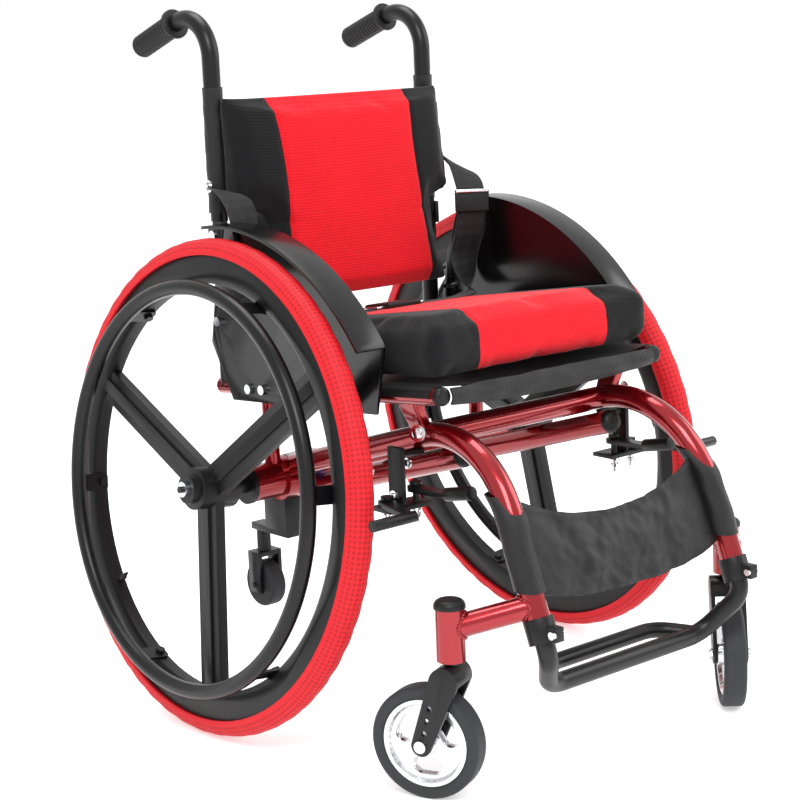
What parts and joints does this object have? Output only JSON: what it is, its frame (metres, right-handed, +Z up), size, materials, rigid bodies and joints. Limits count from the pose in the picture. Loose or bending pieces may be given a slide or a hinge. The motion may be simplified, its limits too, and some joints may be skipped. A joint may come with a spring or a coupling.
{
  "type": "manual wheelchair",
  "caption": "Rigid-frame manual wheelchair with cambered spoked wheels, push rims, swivel casters, padded seat and fold-down back, calf strap and tube footrest.",
  "frame": {"origin": "on the floor under the middle of the chair's overall length and width", "axes": "+Z up, the chair faces -Y, +X is the occupant's left"},
  "size_m": [0.6924, 0.7982, 0.8824],
  "materials": {
    "red_metal": "candy red gloss coat over aluminium tube",
    "black_metal": "satin black powder coat over aluminium",
    "black_plastic": "fine matt moulded black",
    "steel": "bright plated steel",
    "polished_aluminium": "polished",
    "black_fabric": "black knitted mesh and webbing",
    "rubber": "ribbed soft rubber",
    "caster_rubber": "solid dark grey polyurethane",
    "red_tyre": "red tyre with a fine tread"
  },
  "bodies": {
    "frame": {"axle_clamps": "red_metal", "side_tube_right": "red_metal", "side_tube_left": "red_metal", "axle_tube": "red_metal", "cross_tubes": "red_metal", "lower_rails": "red_metal", "seat_rails": "red_metal", "tube_caps": "black_plastic", "seat_posts": "red_metal", "axle_receivers": "black_plastic", "axle_pins": "steel", "caster_arm_right": "red_metal", "caster_arm_left": "red_metal", "caster_bearings": "steel", "housing_caps": "black_plastic", "leg_clamps": "black_plastic", "calf_strap": "black_fabric", "seat_sling": "black_fabric", "seat_cushion": "black_fabric", "side_guard_right": "black_plastic", "side_guard_left": "black_plastic", "frame_screws": "steel", "hinge_stubs": "black_metal", "hinge_pins": "steel", "brake_brackets": "black_metal", "anti_tip_arm": "black_metal"},
    "backrest": {"back_tubes": "black_metal", "push_grips": "rubber", "back_cushion": "black_fabric", "belt_anchors": "steel", "belt_right": "black_fabric", "belt_left": "black_fabric", "belt_buckle": "black_plastic"},
    "footrest": {"footrest_bar": "black_metal"},
    "rear_wheel_right": {"tyre_right": "red_tyre", "wheel_rim_right": "black_plastic", "hub_bearings_right": "steel", "handrim_right": "black_metal", "handrim_screws_right": "steel"},
    "axle_release_right": {"release_button_right": "steel"},
    "caster_swivel_right": {"caster_fork_right": "black_metal", "caster_axle_right": "steel"},
    "caster_wheel_right": {"caster_hub_right": "polished_aluminium", "caster_tyre_right": "caster_rubber"},
    "brake_lever_right": {"brake_lever_right": "black_metal"},
    "brake_shoe_right": {"brake_shoe_right": "black_metal"},
    "anti_tip_roller": {"anti_tip_wheel": "caster_rubber"},
    "rear_wheel_left": {"tyre_left": "red_tyre", "wheel_rim_left": "black_plastic", "hub_bearings_left": "steel", "handrim_left": "black_metal", "handrim_screws_left": "steel"},
    "axle_release_left": {"release_button_left": "steel"},
    "caster_swivel_left": {"caster_fork_left": "black_metal", "caster_axle_left": "steel"},
    "caster_wheel_left": {"caster_hub_left": "polished_aluminium", "caster_tyre_left": "caster_rubber"},
    "brake_lever_left": {"brake_lever_left": "black_metal"},
    "brake_shoe_left": {"brake_shoe_left": "black_metal"}
  },
  "joints": [
    {"name": "backrest_fold", "type": "hinge", "parent": "frame", "child": "backrest", "pos_m": [0, 0.179, 0.6], "axis": [1, 0, 0], "range_deg": [0, 90], "deforming": ["belt_right", "belt_left", "belt_buckle"]},
    {"name": "footrest_height", "type": "slide", "parent": "frame", "child": "footrest", "axis": [0, 0.3544, 0.9351], "range_m": [-0.04, 0]},
    {"name": "rear_wheel_right_spin", "type": "hinge", "parent": "frame", "child": "rear_wheel_right", "pos_m": [-0.2703, 0.094, 0.30311], "axis": [0.9934, 0, -0.1144], "continuous": true},
    {"name": "axle_release_right_push", "type": "slide", "parent": "frame", "child": "axle_release_right", "axis": [-0.9934, 0, 0.1144], "range_m": [-0.003, 0], "stiffness_N_per_m": 300, "springref_m": 0.001},
    {"name": "caster_right_swivel", "type": "hinge", "parent": "frame", "child": "caster_swivel_right", "pos_m": [-0.232, -0.298, 0.19], "axis": [0, 0, 1], "continuous": true},
    {"name": "caster_right_roll", "type": "hinge", "parent": "caster_swivel_right", "child": "caster_wheel_right", "pos_m": [-0.24451, -0.26964, 0.065], "axis": [0.915, 0.4035, 0], "continuous": true},
    {"name": "brake_right_lever_swing", "type": "hinge", "parent": "frame", "child": "brake_lever_right", "pos_m": [-0.166, -0.172, 0.3244], "axis": [0, 0, 1], "range_deg": [-45, 0]},
    {"name": "brake_right_shoe_swing", "type": "hinge", "parent": "frame", "child": "brake_shoe_right", "pos_m": [-0.204, -0.164, 0.3124], "axis": [0, 0, 1], "range_deg": [-15, 0]},
    {"name": "anti_tip_roll", "type": "hinge", "parent": "frame", "child": "anti_tip_roller", "pos_m": [-0.154, 0.15, 0.146], "axis": [1, 0, 0], "continuous": true},
    {"name": "rear_wheel_left_spin", "type": "hinge", "parent": "frame", "child": "rear_wheel_left", "pos_m": [0.2703, 0.094, 0.30311], "axis": [0.9934, 0, 0.1144], "continuous": true},
    {"name": "axle_release_left_push", "type": "slide", "parent": "frame", "child": "axle_release_left", "axis": [0.9934, 0, 0.1144], "range_m": [-0.003, 0], "stiffness_N_per_m": 300, "springref_m": 0.001},
    {"name": "caster_left_swivel", "type": "hinge", "parent": "frame", "child": "caster_swivel_left", "pos_m": [0.232, -0.298, 0.19], "axis": [0, 0, 1], "continuous": true},
    {"name": "caster_left_roll", "type": "hinge", "parent": "caster_swivel_left", "child": "caster_wheel_left", "pos_m": [0.21082, -0.32064, 0.065], "axis": [-0.7302, 0.6833, 0], "continuous": true},
    {"name": "brake_left_lever_swing", "type": "hinge", "parent": "frame", "child": "brake_lever_left", "pos_m": [0.166, -0.172, 0.3244], "axis": [0, 0, -1], "range_deg": [-45, 0]},
    {"name": "brake_left_shoe_swing", "type": "hinge", "parent": "frame", "child": "brake_shoe_left", "pos_m": [0.204, -0.164, 0.3124], "axis": [0, 0, -1], "range_deg": [-15, 0]}
  ],
  "couplings": [
    {"joint": "brake_right_shoe_swing", "follows": "brake_right_lever_swing", "ratio": 0.33333},
    {"joint": "brake_left_shoe_swing", "follows": "brake_left_lever_swing", "ratio": 0.33333}
  ]
}
